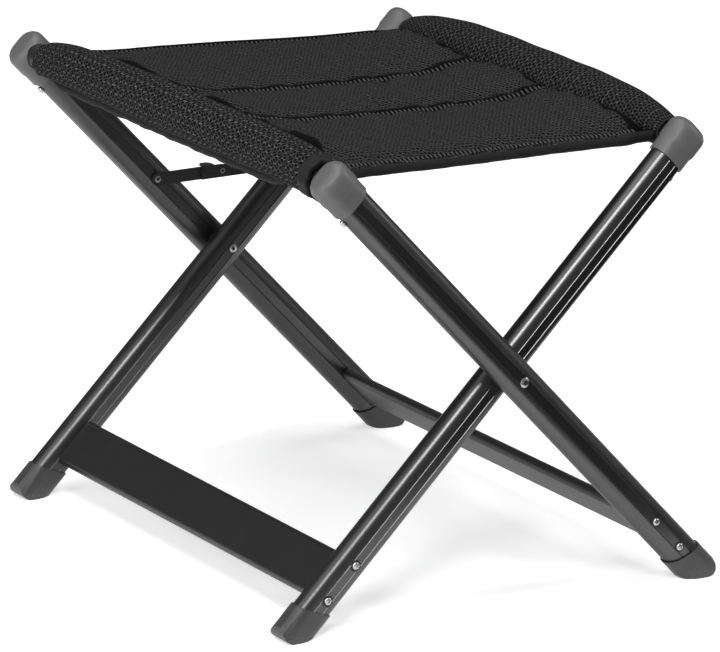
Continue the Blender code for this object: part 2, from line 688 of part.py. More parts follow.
def make_inner_panel(hinge, half_span):
    """Other half of the panel, with corners that clear the inner connectors."""
    start = GAP / 2
    neck = half_span - PANEL_NECK_REACH
    end = half_span - BOLSTER_RADIUS - PANEL_SIDE_GAP
    outline = [
        (start, -PANEL_HALF_WIDTH),
        (neck, -PANEL_HALF_WIDTH),
        (neck, -PANEL_NECK_HALF_WIDTH),
        (end, -PANEL_NECK_HALF_WIDTH),
        (end, PANEL_NECK_HALF_WIDTH),
        (neck, PANEL_NECK_HALF_WIDTH),
        (neck, PANEL_HALF_WIDTH),
        (start, PANEL_HALF_WIDTH),
    ]
    add_part("seat_panel_inner", extruded([outline], PANEL_BOTTOM, PANEL_TOP), MESH_FABRIC, hinge)


def rail_place(top, direction):
    station = top - RAIL_DEPTH
    return Vector((direction * station * math.sin(LEG_TILT), 0.0,
                   PIVOT_HEIGHT + station * math.cos(LEG_TILT)))


def make_seat():
    """Two panel halves along the line between the rails, on hinges at its start and middle."""
    outer_rail = rail_place(OUTER_TOP, -1.0)
    inner_rail = rail_place(INNER_TOP, 1.0)
    span = inner_rail - outer_rail
    slope = (0.0, -math.atan2(span.z, span.x), 0.0)
    outer_hinge = add_empty("seat_outer_hinge", outer_rail, slope)
    middle_hinge = add_empty("seat_middle_hinge", (outer_rail + inner_rail) / 2, slope)
    make_outer_panel(outer_hinge, span.length / 2)
    make_inner_panel(middle_hinge, span.length / 2)


def make_frame(label, frame, leg_y, top, underside):
    """One rigid frame; its feet are on the side that its legs' undersides face away from."""
    make_rail(label + "_rail", frame, leg_y, top)
    make_crossbar(label + "_crossbar", frame, leg_y)
    make_bolster(label + "_bolster", frame, leg_y, top, underside)
    for side, place in ((-1.0, "near"), (1.0, "far")):
        y = side * leg_y
        make_leg(label + "_leg_" + place, frame, y, top, underside, side > 0.0)
        make_connector(label + "_connector_" + place, frame, y, top, underside)
        make_connector_screw(label + "_connector_screw_" + place, frame, y, top, underside)
        make_boot(label + "_boot_" + place, frame, y, -underside)
        make_plug(label + "_crossbar_plug_" + place, frame, leg_y, side)
        for offset, level in ((CROSSBAR_SCREW_OFFSET, "upper"), (-CROSSBAR_SCREW_OFFSET, "lower")):
            name = label + "_crossbar_screw_" + place + "_" + level
            make_crossbar_screw(name, frame, leg_y, side, offset)


def make_pivots():
    for side, place in ((-1.0, "near"), (1.0, "far")):
        make_pivot_rivet("pivot_rivet_" + place, side)
        make_pivot_spacer("pivot_spacer_" + place, side)


clear_scene()
PARTS = new_collection("camp_stool")
CUTTERS = new_collection("cutters")
PIVOT = add_empty("fold_axis", (0.0, 0.0, PIVOT_HEIGHT))
OUTER = add_empty("outer_frame", (0.0, 0.0, 0.0), (0.0, -LEG_TILT, 0.0), PIVOT)
INNER = add_empty("inner_frame", (0.0, 0.0, 0.0), (0.0, LEG_TILT, 0.0), PIVOT)

make_frame("outer", OUTER, OUTER_LEG_Y, OUTER_TOP, -1.0)
make_frame("inner", INNER, INNER_LEG_Y, INNER_TOP, 1.0)
make_pivots()
make_brace()
make_seat()
bpy.context.view_layer.update()
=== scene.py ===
"""Looks of the folding camp stool: padded mesh seat, bolsters, stitching, fasteners and finishes."""

import json
from math import cos, degrees, exp, hypot, pi, radians, sin, sqrt

import bmesh
import bpy
import numpy as np
from mathutils import Matrix, Vector


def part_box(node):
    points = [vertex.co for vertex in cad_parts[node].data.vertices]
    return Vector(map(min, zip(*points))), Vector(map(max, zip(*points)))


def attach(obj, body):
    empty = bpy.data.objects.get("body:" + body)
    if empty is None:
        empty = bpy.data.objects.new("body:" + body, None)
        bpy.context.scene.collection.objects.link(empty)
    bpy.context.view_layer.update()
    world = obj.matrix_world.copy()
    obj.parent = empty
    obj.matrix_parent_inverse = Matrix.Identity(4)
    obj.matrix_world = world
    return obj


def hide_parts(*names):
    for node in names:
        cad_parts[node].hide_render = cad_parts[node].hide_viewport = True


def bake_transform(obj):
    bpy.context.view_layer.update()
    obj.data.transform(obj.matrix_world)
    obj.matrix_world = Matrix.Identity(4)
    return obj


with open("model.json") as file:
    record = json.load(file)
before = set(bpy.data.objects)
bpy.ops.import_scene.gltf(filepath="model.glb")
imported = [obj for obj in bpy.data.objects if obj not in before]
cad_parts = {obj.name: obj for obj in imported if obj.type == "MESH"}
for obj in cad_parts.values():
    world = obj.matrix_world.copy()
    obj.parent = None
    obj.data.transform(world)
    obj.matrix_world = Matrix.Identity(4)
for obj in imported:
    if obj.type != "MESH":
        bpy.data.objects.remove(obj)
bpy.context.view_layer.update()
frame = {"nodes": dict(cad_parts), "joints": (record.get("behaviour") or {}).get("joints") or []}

NODES = frame["nodes"]


# ---- camera, light and floor

CAMERA_AZIMUTH = radians(-34.5468)
CAMERA_ELEVATION = radians(16.8397)
CAMERA_ROLL = radians(2.1670)
CAMERA_TARGET = Vector((0.0, 0.0, 0.195))
CAMERA_OFFSET = Vector((0.00165, -0.01670, 4.87397))  # from the target, in the camera's own directions
CAMERA_LENS = 295.81
CAMERA_SENSOR = 36.0
CAMERA_CLIP = (0.05, 50.0)

WORLD_GLOW = (0.16, 1.0)  # lighting strength, and strength as the camera sees it
FLOOR_GLOW = (0.22, 0.52)
FLOOR_LEVEL = 0.90
FLOOR_HALF = 12.0
FLAG_LEVEL = 0.01
AHEAD = Vector((0.567, -0.824, 0.0))  # on the floor, from the stool to the camera
BESIDE = Vector((0.824, 0.567, 0.0))
STOOL_MIDDLE = (0.0, 0.0, 0.25)
# name, place, size, power
LIGHTS = (("softbox", (-0.2, 0.1, 3.0), (2.2, 2.2), 52.0),
          ("key", (-1.25, -1.9, 2.5), (0.50, 1.0), 42.0),
          ("left_strip", (-2.4, -0.4, 1.1), (0.35, 1.8), 26.0),
          ("right_strip", (2.2, -1.2, 1.5), (0.25, 1.4), 18.0))


def add_object(name, data):
    made = bpy.data.objects.new(name, data)
    bpy.context.scene.collection.objects.link(made)
    return made


def make_camera():
    """Camera at the angle and distance of the picture the stool is built from."""
    turn = Matrix.Rotation(CAMERA_AZIMUTH, 4, "Z") @ Matrix.Rotation(pi / 2 - CAMERA_ELEVATION, 4, "X")
    turn = turn @ Matrix.Rotation(CAMERA_ROLL, 4, "Z")
    data = bpy.data.cameras.new("camera")
    data.lens = CAMERA_LENS
    data.sensor_width = CAMERA_SENSOR
    data.clip_start, data.clip_end = CAMERA_CLIP
    camera = add_object("camera", data)
    camera.matrix_world = Matrix.Translation(CAMERA_TARGET) @ turn @ Matrix.Translation(CAMERA_OFFSET)
    bpy.context.scene.camera = camera


def area_light(name, place, size, power):
    data = bpy.data.lights.new(name, "AREA")
    data.shape = "RECTANGLE"
    data.size, data.size_y = size
    data.energy = power
    light = add_object(name, data)
    light.location = place
    light.rotation_euler = (Vector(STOOL_MIDDLE) - Vector(place)).to_track_quat("-Z", "Y").to_euler()


def set_glow(tree, socket, glow, seen_glow):
    """Gives a strength one value for lighting and another for rays straight from the camera."""
    lift = tree.nodes.new("ShaderNodeMapRange")
    tree.links.new(tree.nodes.new("ShaderNodeLightPath").outputs["Is Camera Ray"], lift.inputs["Value"])
    lift.inputs["To Min"].default_value = glow
    lift.inputs["To Max"].default_value = seen_glow
    tree.links.new(lift.outputs["Result"], socket)


def stage_sheet(name, centre, half_a, half_b, level, glow=None):
    """Matt rectangle of the studio; glow holds its strengths for lighting and for the camera."""
    mesh = bpy.data.meshes.new(name)
    corners = [centre + half_a * a + half_b * b for a, b in ((-1, -1), (1, -1), (1, 1), (-1, 1))]
    mesh.from_pydata([tuple(corner) for corner in corners], [], [(0, 1, 2, 3)])
    sheet = add_object(name, mesh)
    matt = bpy.data.materials.new(name + "_matt")
    matt.use_nodes = True
    shader = matt.node_tree.nodes["Principled BSDF"]
    shader.inputs["Base Color"].default_value = (level, level, level, 1.0)
    shader.inputs["Roughness"].default_value = 0.90
    shader.inputs["Specular IOR Level"].default_value = 0.0
    if glow:
        shader.inputs["Emission Color"].default_value = (1.0, 1.0, 1.0, 1.0)
        set_glow(matt.node_tree, shader.inputs["Emission Strength"], *glow)
    mesh.materials.append(matt)
    return sheet


def make_stage():
    """Pale floor and soft lights, with a black flag before the stool that only reflections show."""
    world = bpy.data.worlds.new("studio")
    world.use_nodes = True
    sky = world.node_tree.nodes["Background"]
    sky.inputs["Color"].default_value = (1.0, 1.0, 1.0, 1.0)
    set_glow(world.node_tree, sky.inputs["Strength"], *WORLD_GLOW)
    bpy.context.scene.world = world
    bpy.context.scene.view_settings.view_transform = "Standard"
    half_x, half_y = Vector((FLOOR_HALF, 0.0, 0.0)), Vector((0.0, FLOOR_HALF, 0.0))
    stage_sheet("floor", Vector((0.0, 0.0, 0.0)), half_x, half_y, FLOOR_LEVEL, FLOOR_GLOW)
    flag = stage_sheet("black_flag", AHEAD * 1.65 + Vector((0.0, 0.0, 0.002)), AHEAD * 1.25, BESIDE * 1.1,
                       FLAG_LEVEL)
    flag.visible_camera = False
    flag.visible_diffuse = False
    flag.visible_shadow = False
    for light in LIGHTS:
        area_light(*light)


# ---- node helpers

class Maker:
    """One node-based material: short calls that add a node and return its output."""

    def __init__(self, name):
        self.material = bpy.data.materials.new(name)
        self.material.use_nodes = True
        self.tree = self.material.node_tree
        self.shader = self.tree.nodes["Principled BSDF"]

    def link(self, value, socket):
        if isinstance(value, bpy.types.NodeSocket):
            self.tree.links.new(value, socket)
        else:
            socket.default_value = value

    def node(self, kind, inputs, **settings):
        """New node with its settings, and with values or sockets for its inputs."""
        node = self.tree.nodes.new(kind)
        for key, value in settings.items():
            setattr(node, key, value)
        for key, value in inputs.items():
            self.link(value, node.inputs[key])
        return node

    def math(self, operation, a, b=0.0):
        return self.node("ShaderNodeMath", {0: a, 1: b}, operation=operation).outputs[0]

    def plus(self, a, b):
        return self.math("ADD", a, b)

    def times(self, a, b):
        return self.math("MULTIPLY", a, b)

    def ramp(self, value, low, high):
        """0 below low, 1 above high, smooth in between."""
        inputs = {"Value": value, "From Min": low, "From Max": high}
        return self.node("ShaderNodeMapRange", inputs, interpolation_type="SMOOTHSTEP").outputs["Result"]

    def mix(self, share, a, b, kind="RGBA"):
        """Colour between a and b."""
        inputs = {"Factor": share, "A": a, "B": b}
        return self.node("ShaderNodeMix", inputs, data_type=kind).outputs["Result"]

    def blend_value(self, share, a, b):
        """Number between a and b."""
        return self.mix(share, a, b, "FLOAT")

    def place(self, stretch=(1.0, 1.0, 1.0), turn=0.0):
        """Object coordinates, turned about Y and then multiplied by stretch."""
        inputs = {"Vector": self.node("ShaderNodeTexCoord", {}).outputs["Object"], "Angle": turn}
        turned = self.node("ShaderNodeVectorRotate", inputs, rotation_type="Y_AXIS")
        inputs = {0: turned.outputs["Vector"], 1: stretch}
        return self.node("ShaderNodeVectorMath", inputs, operation="MULTIPLY").outputs["Vector"]

    def split(self, vector):
        return self.node("ShaderNodeSeparateXYZ", {0: vector}).outputs

    def noise(self, scale, detail=2.0, roughness=0.5, stretch=(1.0, 1.0, 1.0), turn=0.0):
        """Noise in object coordinates, drawn out where stretch is below one."""
        place = self.place(stretch, turn)
        inputs = {"Vector": place, "Scale": scale, "Detail": detail, "Roughness": roughness}
        return self.node("ShaderNodeTexNoise", inputs).outputs["Fac"]

    def bump(self, height, strength, distance):
        inputs = {"Height": height, "Strength": strength, "Distance": distance}
        return self.node("ShaderNodeBump", inputs).outputs["Normal"]

    def finish(self, colour, roughness, metallic=0.0, normal=None):
        self.link(colour, self.shader.inputs["Base Color"])
        self.link(roughness, self.shader.inputs["Roughness"])
        self.shader.inputs["Metallic"].default_value = metallic
        if normal is not None:
            self.link(normal, self.shader.inputs["Normal"])
        return self.material


def grey(level, tint=0.0):
    """Grey of a linear level; a positive tint turns it slightly blue."""
    return (level, level * (1.0 + tint * 0.5), level * (1.0 + tint), 1.0)


# ---- hard materials

def anodised(name, turn, level, gloss):
    """Dark extruded aluminium with faint drawing lines along its length."""
    maker = Maker(name)
    lines = maker.noise(1.0, 3.0, stretch=(900.0, 900.0, 6.0), turn=turn)
    cloud = maker.noise(38.0, 3.0)
    wear = maker.ramp(maker.noise(420.0, 4.0, 0.6, (1.0, 1.0, 0.35), turn), 0.66, 0.80)
    tone = maker.mix(cloud, grey(level * 0.86), grey(level * 1.14))
    colour = maker.mix(maker.times(wear, 0.25), tone, grey(level * 2.2))
    rough = maker.blend_value(lines, gloss, gloss + 0.12)
    return maker.finish(colour, rough, 0.95, maker.bump(lines, 0.07, 0.00004))


def moulded(name, level, grain, rough_low, rough_high):
    """Satin moulded plastic with a fine sparked grain and handling marks."""
    maker = Maker(name)
    fine = maker.noise(grain, 3.0, 0.65)
    cloud = maker.noise(60.0, 3.0)
    scuff = maker.ramp(maker.noise(330.0, 4.0, 0.7, (1.0, 1.0, 3.5)), 0.63, 0.78)
    tone = maker.mix(cloud, grey(level * 0.90), grey(level * 1.10))
    colour = maker.mix(maker.times(scuff, 0.30), tone, grey(level * 1.55))
    rough = maker.blend_value(fine, rough_low, rough_high)
    return maker.finish(colour, rough, 0.0, maker.bump(fine, 0.55, 0.00030))


def boot_finish():
    """Moulded boot plastic, scuffed and dusty towards the floor."""
    maker = Maker("boot_finish")
    height = maker.split(maker.place())["Z"]
    low = maker.math("SUBTRACT", 1.0, maker.ramp(height, 0.001, 0.012))
    fine = maker.noise(1200.0, 3.0, 0.65)
    scrape = maker.ramp(maker.noise(420.0, 4.0, 0.7, (1.0, 1.0, 4.0)), 0.46, 0.66)
    dust = maker.times(low, scrape)
    cloud = maker.noise(70.0, 3.0)
    tone = maker.mix(cloud, grey(0.036), grey(0.054))
    colour = maker.mix(maker.times(dust, 0.55), tone, grey(0.135))
    rough = maker.blend_value(fine, 0.27, 0.44)
    return maker.finish(colour, rough, 0.0, maker.bump(fine, 0.50, 0.00028))


def bright_steel():
    """Zinc-plated fastener steel with fine turning marks."""
    maker = Maker("bright_steel")
    marks = maker.noise(3800.0, 2.0)
    stain = maker.ramp(maker.noise(900.0, 3.0), 0.52, 0.72)
    colour = maker.mix(maker.times(stain, 0.5), grey(0.56, 0.02), grey(0.30))
    rough = maker.blend_value(marks, 0.22, 0.40)
    return maker.finish(colour, rough, 1.0, maker.bump(marks, 0.12, 0.00004))


def coated_steel():
    """Black satin coating with rubbed streaks along the strip."""
    maker = Maker("coated_steel")
    fine = maker.noise(2400.0, 3.0, 0.6)
    streak = maker.ramp(maker.noise(900.0, 3.0, stretch=(0.12, 1.0, 1.0)), 0.60, 0.76)
    tone = maker.mix(maker.noise(80.0), grey(0.016), grey(0.026))
    colour = maker.mix(maker.times(streak, 0.35), tone, grey(0.07))
    rough = maker.blend_value(fine, 0.34, 0.48)
    return maker.finish(colour, rough, 0.35, maker.bump(fine, 0.18, 0.0001))


def painted_recess_shade():
    """Unlit hollow of a rivet and the gap round a screw head."""
    maker = Maker("painted_recess_shade")
    fine = maker.noise(1500.0, 3.0)
    colour = maker.mix(fine, grey(0.006), grey(0.012))
    return maker.finish(colour, maker.blend_value(fine, 0.55, 0.75), 0.0)


# ---- fabrics

FIBRE_PITCH = 0.00065
MESH_RELIEF = 0.0009
TAPE_PITCH = 0.0009
# levels of the painted highlight on the knots, the painted shade in the holes and the painted shade at the
# seams, as multiples of the mesh's own level
KNOT_HIGHLIGHT_LEVEL = 11.0
HOLE_SHADE_LEVEL = 0.05
SEAM_SHADE_LEVEL = 0.09


def fabric_place(maker):
    """Fabric coordinates in metres, kept with the cloth when it bends."""
    cloth = maker.split(maker.node("ShaderNodeUVMap", {}, uv_map="cloth").outputs["UV"])
    return cloth["X"], cloth["Y"]


def wave(maker, u, v, pitch, angle):
    """cos of the distance along a direction, one cycle per pitch."""
    along = maker.times(u, 2 * pi * cos(angle) / pitch)
    across = maker.times(v, 2 * pi * sin(angle) / pitch)
    return maker.math("COSINE", maker.plus(along, across))


def spacer_mesh(name, spacing, hole_share, rib, rib_turn, level, turn=0.0, chevron=0.0, sewn=False):
    """Knitted spacer mesh: a lattice of holes with painted shade between twisted threads, with a painted
    highlight on their raised knots.

    spacing is the distance between holes, rib the width of a knitted rib, turn the angle of the
    lattice, chevron the slope of its zigzag, and sewn paints shade by the cloth's "seam" attribute.
    """
    maker = Maker(name)
    u, v = fabric_place(maker)
    u = maker.plus(u, maker.times(maker.noise(130.0), spacing * 1.3))
    v = maker.plus(v, maker.times(maker.noise(170.0), spacing * 0.9))
    if chevron:
        fold = maker.math("PINGPONG", maker.plus(u, 1.0), spacing * 1.5)
        v = maker.plus(v, maker.times(fold, chevron))
    pitch = spacing * sqrt(3) / 2
    rows = wave(maker, u, v, pitch, pi / 2 + turn)
    lean_left = wave(maker, u, v, pitch, pi / 6 + turn)
    lean_right = wave(maker, u, v, pitch, -pi / 6 + turn)
    lattice = maker.plus(maker.plus(rows, lean_left), lean_right)
    # the holes get painted shade, the raised knots a painted highlight
    holes = maker.ramp(lattice, hole_share, hole_share + 0.8)
    knots = maker.ramp(maker.times(lattice, -1.0), 0.60, 1.25)
    fibres = maker.times(wave(maker, u, v, FIBRE_PITCH, pi / 5), 0.5)
    fibres = maker.plus(fibres, 0.5)
    ribs = maker.ramp(wave(maker, u, v, rib, rib_turn), 0.2, 1.0)
    cloud = maker.noise(55.0, 4.0, 0.6)
    fuzz = maker.noise(1100.0, 3.0, 0.7)
    thread = maker.mix(cloud, grey(level * 0.75), grey(level * 1.20))
    fleck = maker.ramp(fuzz, 0.42, 0.72)
    thread = maker.mix(maker.times(fleck, 0.5), thread, grey(level * 2.6))
    knot_highlight = maker.times(knots, maker.blend_value(ribs, 0.25, 1.0))
    knot_highlight = maker.times(knot_highlight, maker.blend_value(fleck, 0.35, 1.0))
    # painted highlight on the knots, then painted shade in the holes
    thread = maker.mix(knot_highlight, thread, grey(level * KNOT_HIGHLIGHT_LEVEL))
    colour = maker.mix(holes, thread, grey(level * HOLE_SHADE_LEVEL))
    if sewn:
        # painted shade along the sewn lines and in the end creases
        seam_shade = maker.node("ShaderNodeAttribute", {}, attribute_name="seam").outputs["Fac"]
        colour = maker.mix(maker.ramp(seam_shade, 0.30, 0.62), colour, grey(level * SEAM_SHADE_LEVEL))
    height = maker.math("SUBTRACT", maker.times(knots, 0.45), holes)
    height = maker.plus(height, maker.times(fibres, 0.10))
    height = maker.plus(height, maker.times(ribs, 0.20))
    normal = maker.bump(height, 1.0, MESH_RELIEF)
    rough = maker.blend_value(fuzz, 0.72, 0.92)
    maker.shader.inputs["Specular IOR Level"].default_value = 0.09
    return maker.finish(colour, rough, 0.0, normal)


def binding_weave():
    """Tightly woven smooth binding tape."""
    maker = Maker("binding_weave")
    u, v = fabric_place(maker)
    warp = wave(maker, u, v, TAPE_PITCH, pi / 4)
    weft = wave(maker, u, v, TAPE_PITCH, -pi / 4)
    weave = maker.times(warp, weft)
    cloud = maker.noise(90.0, 4.0, 0.6)
    tone = maker.mix(cloud, grey(0.006), grey(0.012))
    colour = maker.mix(maker.times(maker.ramp(weave, 0.2, 0.9), 0.4), tone, grey(0.030))
    rough = maker.blend_value(cloud, 0.55, 0.70)
    maker.shader.inputs["Specular IOR Level"].default_value = 0.20
    return maker.finish(colour, rough, 0.0, maker.bump(weave, 0.45, 0.00018))


def stitch_thread():
    """Twisted polyester sewing thread."""
    maker = Maker("stitch_thread")
    twist = maker.node("ShaderNodeTexWave", {"Vector": maker.place(), "Scale": 900.0}, wave_type="BANDS",
                       bands_direction="DIAGONAL")
    fuzz = maker.noise(2600.0, 3.0)
    colour = maker.mix(twist.outputs["Fac"], grey(0.030), grey(0.080))
    rough = maker.blend_value(fuzz, 0.55, 0.75)
    return maker.finish(colour, rough, 0.0, maker.bump(twist.outputs["Fac"], 0.4, 0.0001))


# ---- mesh helpers

def new_piece(name, points, faces, finish, uvs=None):
    """Smooth-shaded mesh object in the shared frame; uvs holds one (u, v) for each face corner."""
    mesh = bpy.data.meshes.new(name)
    mesh.from_pydata([tuple(p) for p in points], [], faces)
    mesh.materials.append(finish)
    if uvs is not None:
        layer = mesh.uv_layers.new(name="cloth")
        layer.data.foreach_set("uv", np.asarray(uvs, np.float32).ravel())
    mesh.validate()
    mesh.shade_smooth()
    return add_object(name, mesh)


def torus_grid(rings, ring_uvs):
    """Faces and corner uvs of rings of equal length, joined ring to ring and last to first."""
    count, size = len(rings), len(rings[0])
    faces, uvs = [], []
    for i in range(count):
        for j in range(size):
            corners = [(i, j), (i, j + 1), (i + 1, j + 1), (i + 1, j)]
            faces.append([(a % count) * size + b % size for a, b in corners])
            uvs += [ring_uvs(a, b) for a, b in corners]
    return faces, uvs


def tube_grid(steps, size, corner_uv):
    """Faces and corner uvs of steps + 1 rings of size points, joined ring to ring, ends left open."""
    faces, uvs = [], []
    for i in range(steps):
        for j in range(size):
            after = (j + 1) % size
            faces.append([i * size + j, (i + 1) * size + j, (i + 1) * size + after, i * size + after])
            uvs += [corner_uv(a, b) for a, b in ((i, j), (i + 1, j), (i + 1, j + 1), (i, j + 1))]
    return faces, uvs


def circle(radius, height, steps):
    turns = [2 * pi * corner / steps for corner in range(steps)]
    return [(radius * cos(turn), radius * sin(turn), height) for turn in turns]


def lathe(profile, radius, steps):
    """Points and faces of a solid turned about +Z from a profile that starts and ends on the axis."""
    points, faces = [(0.0, 0.0, profile[0][1])], []
    for share, height in profile[1:-1]:
        points += circle(share * radius, height, steps)
    end = len(points) - steps
    points.append((0.0, 0.0, profile[-1][1]))
    for corner in range(steps):
        after = (corner + 1) % steps
        faces.append([0, 1 + corner, 1 + after])
        for start in range(1, end, steps):
            a, b = start + corner, start + after
            faces.append([a, a + steps, b + steps, b])
        faces.append([end + corner, len(points) - 1, end + after])
    return points, faces


def facing(axis):
    """Turn that takes +Z to an axis."""
    return Vector((0.0, 0.0, 1.0)).rotation_difference(Vector(axis)).to_matrix().to_4x4()


def outward(piece, triangulate=False):
    """Turns all faces to the outside, and can split those with more than four corners first."""
    solid = bmesh.new()
    solid.from_mesh(piece.data)
    if triangulate:
        bmesh.ops.triangulate(solid, faces=[f for f in solid.faces if len(f.verts) > 4])
    bmesh.ops.recalc_face_normals(solid, faces=solid.faces)
    solid.to_mesh(piece.data)
    solid.free()


# ---- seat frame of reference

def joint_place(name):
    """Where the part's own record puts a joint, at rest."""
    return Vector(next(j for j in frame["joints"] if j["name"] == name)["pos_m"])


OUTER_RAIL = joint_place("seat_outer_hinge")
MIDDLE = joint_place("seat_middle_hinge")
ALONG = (MIDDLE - OUTER_RAIL).normalized()
LIFT = Vector((-ALONG.z, 0.0, ALONG.x))
SPAN = (MIDDLE - OUTER_RAIL).length * 2
INNER_RAIL = OUTER_RAIL + ALONG * SPAN


def seat_point(s, y, h):
    """Point s along the seat from the outer rail's axis, y along the rail and h above the seat's plane."""
    return OUTER_RAIL + ALONG * s + Vector((0.0, y, 0.0)) + LIFT * h


def smooth_step(x):
    """0 below zero, 1 above one, eased in between."""
    x = min(1.0, max(0.0, x))
    return x * x * (3.0 - 2.0 * x)


# ---- seat panel

# Metres along the seat from the outer rail, and metres above the plane through the rails.
PANEL_START = 0.0235
PANEL_END = SPAN - 0.0205
PANEL_THICKNESS = 0.0115
PANEL_TOP = 0.0066
HALF_WIDTH = 0.1975
CORNER_START = 0.135  # |y| from which the panel changes towards its corners
CORNER_REACH = (0.0108, 0.0078)  # how much further the panel goes at its corners, at start and end
CHANNELS = (-0.052, 0.052)  # y of the two sewn channels
EDGE_SEAM = 0.0068  # from the side of the panel to its edge seam
SEAM_WIDTH = 0.0050
SEAM_GROOVE = 0.0020
SEAM_SHADE_BAND = (0.0042, 0.0082, 0.0082, 0.0042)  # reach of the band of painted shade at each of the four sewn lines
PILLOW = 0.0028  # rise of the padding between sewn lines
CREASE_SHADE_START = 0.0366  # painted shade darkens the cloth in the creases beside both bolsters
CREASE_SHADE_END = SPAN - 0.0262
CREASE_SHADE_FADE = 0.0058
CREASE_SHADE_CORNER = 0.0125
EDGE_DROOP = (0.0032, 0.0004)  # near side, far side
SAG = (0.0052, 0.0072)  # near half, far half
CREASE = (0.0036, 0.0040)  # depth of the creases at start and end
RIPPLE = 0.0007
PANEL_STEPS = 84
ROWS_ACROSS = 44
MEAN_HALF_WIDTH = 0.1955
CHANNEL_ROWS = (-0.022, -0.013, -0.006, 0.0, 0.006, 0.013, 0.022)
EDGE_ROWS = (0.918, 0.932, 0.940, 0.9465, 0.953, 0.961, 0.972, 0.982, 0.991)
ROW_GAP = 0.0045


def half_width(s):
    """Half width of the panel: wide at the outer rail, narrow between the inner legs."""
    wide = HALF_WIDTH + 0.0060 * (1.0 - smooth_step((s - 0.02) / 0.05))
    hollow = 0.0022 * sin(pi * min(1.0, s / SPAN))
    narrow = 0.0108 * smooth_step((s - 0.100) / (SPAN - 0.165))
    neck = 0.0040 * smooth_step((s - (SPAN - 0.050)) / 0.016)
    return wide - hollow - (narrow + neck)


def sag(s, y):
    """How far the middle of the panel hangs below its taut edges."""
    across = min(1.0, abs(y) / 0.190)
    depth = SAG[0] + (SAG[1] - SAG[0]) * smooth_step((y + 0.05) / 0.1)
    share = max(0.0, sin(pi * s / SPAN)) ** 0.8
    return depth * share * (1.0 - across ** 3)


def panel_rows():
    """Shares of the half width where the panel has rows, closer together at the seams."""
    rows = set(np.round(np.linspace(-0.93, 0.93, ROWS_ACROSS), 4).tolist())
    for channel in CHANNELS:
        rows.update(round(channel / MEAN_HALF_WIDTH + offset, 4) for offset in CHANNEL_ROWS)
    for side in (-1.0, 1.0):
        rows.update(round(side * share, 4) for share in EDGE_ROWS)
    kept = []
    for share in sorted(rows):
        if not kept or share - kept[-1] > ROW_GAP:
            kept.append(share)
    return kept


def seam_depth(distance):
    """Groove of a sewn seam: deep at the line, gone two seam widths away."""
    return SEAM_GROOVE * exp(-(distance / SEAM_WIDTH) ** 2)


def foot_rise(s, y):
    """The panel climbs towards both bolsters, except at its bound sides."""
    climb = 0.0044 * (1.0 - smooth_step((s - 0.034) / 0.050))
    climb += 0.0056 * (1.0 - smooth_step((SPAN - 0.028 - s) / 0.060))
    return climb * (1.0 - smooth_step((abs(y) - CORNER_START) / 0.050))


def edge_droop(y, width):
    """The padding thins out and rolls down towards the bound sides."""
    droop = EDGE_DROOP[0] if y < 0.0 else EDGE_DROOP[1]
    return droop * smooth_step((abs(y) - (width - 0.030)) / 0.026)


def seam_lines(s):
    """Where the four sewn lines cross the panel at s."""
    edge = half_width(s) - EDGE_SEAM
    return (-edge, *CHANNELS, edge)


def panel_top(s, y):
    """Height of the quilted top: pillows between grooves, rolled sides and creases at both ends."""
    width = half_width(s)
    h = PANEL_TOP + foot_rise(s, y) - sag(s, y) - edge_droop(y, width)
    lines = seam_lines(s)
    for low, high in zip(lines[:-1], lines[1:]):
        if low <= y <= high:
            pillow = PILLOW * sin(pi * (y - low) / (high - low)) ** 1.2
            h += pillow * smooth_step((s - 0.026) / 0.034)
    pressed = 0.30 + 0.70 * smooth_step((s - 0.030) / 0.030)
    for line in lines:
        h -= seam_depth(y - line) * pressed
    over = (abs(y) - (width - EDGE_SEAM)) / EDGE_SEAM
    if over > 0.0:
        h -= 0.0018 * over ** 3
        h += 0.0010 * sin(pi * min(1.0, over))
    crease = CREASE[0] * (1.0 - smooth_step((s - PANEL_START) / 0.015))
    crease += CREASE[1] * (1.0 - smooth_step((PANEL_END - s) / 0.012))
    ripple = RIPPLE * sin(s * 190.0 + y * 23.0) * sin(y * 61.0 + s * 35.0)
    return h - crease + ripple * (1.0 - smooth_step((abs(y) - 0.15) / 0.03))


def corner_share(y):
    """0 along most of a bolster, 1 by its end."""
    return smooth_step((abs(y) - CORNER_START) / 0.048)


def panel_along(share, y):
    """Distance from the outer rail at a share of the panel's length: longer where the bolsters are thin."""
    corner = corner_share(y)
    start = PANEL_START - CORNER_REACH[0] * corner
    end = PANEL_END + CORNER_REACH[1] * corner
    return start + (end - start) * share


def seam_shade_share(s, y):
    """Share of painted shade: 1 on a sewn line and in the end creases, fading to 0 beside them."""
    across = max(exp(-((y - line) / reach) ** 2) for line, reach in zip(seam_lines(s), SEAM_SHADE_BAND))
    shade_start = CREASE_SHADE_START - CREASE_SHADE_CORNER * corner_share(y)
    crease = exp(-(max(0.0, min(s - shade_start, CREASE_SHADE_END - s)) / CREASE_SHADE_FADE) ** 2)
    return max(across, crease)


def panel_ring(along, shares):
    """One section of the panel as (s, y, h): top, far side, underside, near side."""
    width = half_width(panel_along(along, 0.0))
    top, bottom = [], []
    for share in shares:
        y = share * width
        s = panel_along(along, y)
        top.append((s, y, panel_top(s, y)))
        low = PANEL_TOP + 0.6 * foot_rise(s, y) - sag(s, y) - PANEL_THICKNESS
        low += sum(0.6 * seam_depth(y - line) for line in CHANNELS)
        bottom.append((s, y, low))
    bottom.reverse()
    s = panel_along(along, width)
    high, low = top[-1][2], bottom[0][2]
    rounded = width - 0.0006
    far = [(s, rounded, high - 0.002), (s, width, (high + low) / 2), (s, rounded, low + 0.002)]
    near = [(s, -y, h) for s, y, h in reversed(far)]
    return top + far + bottom + near


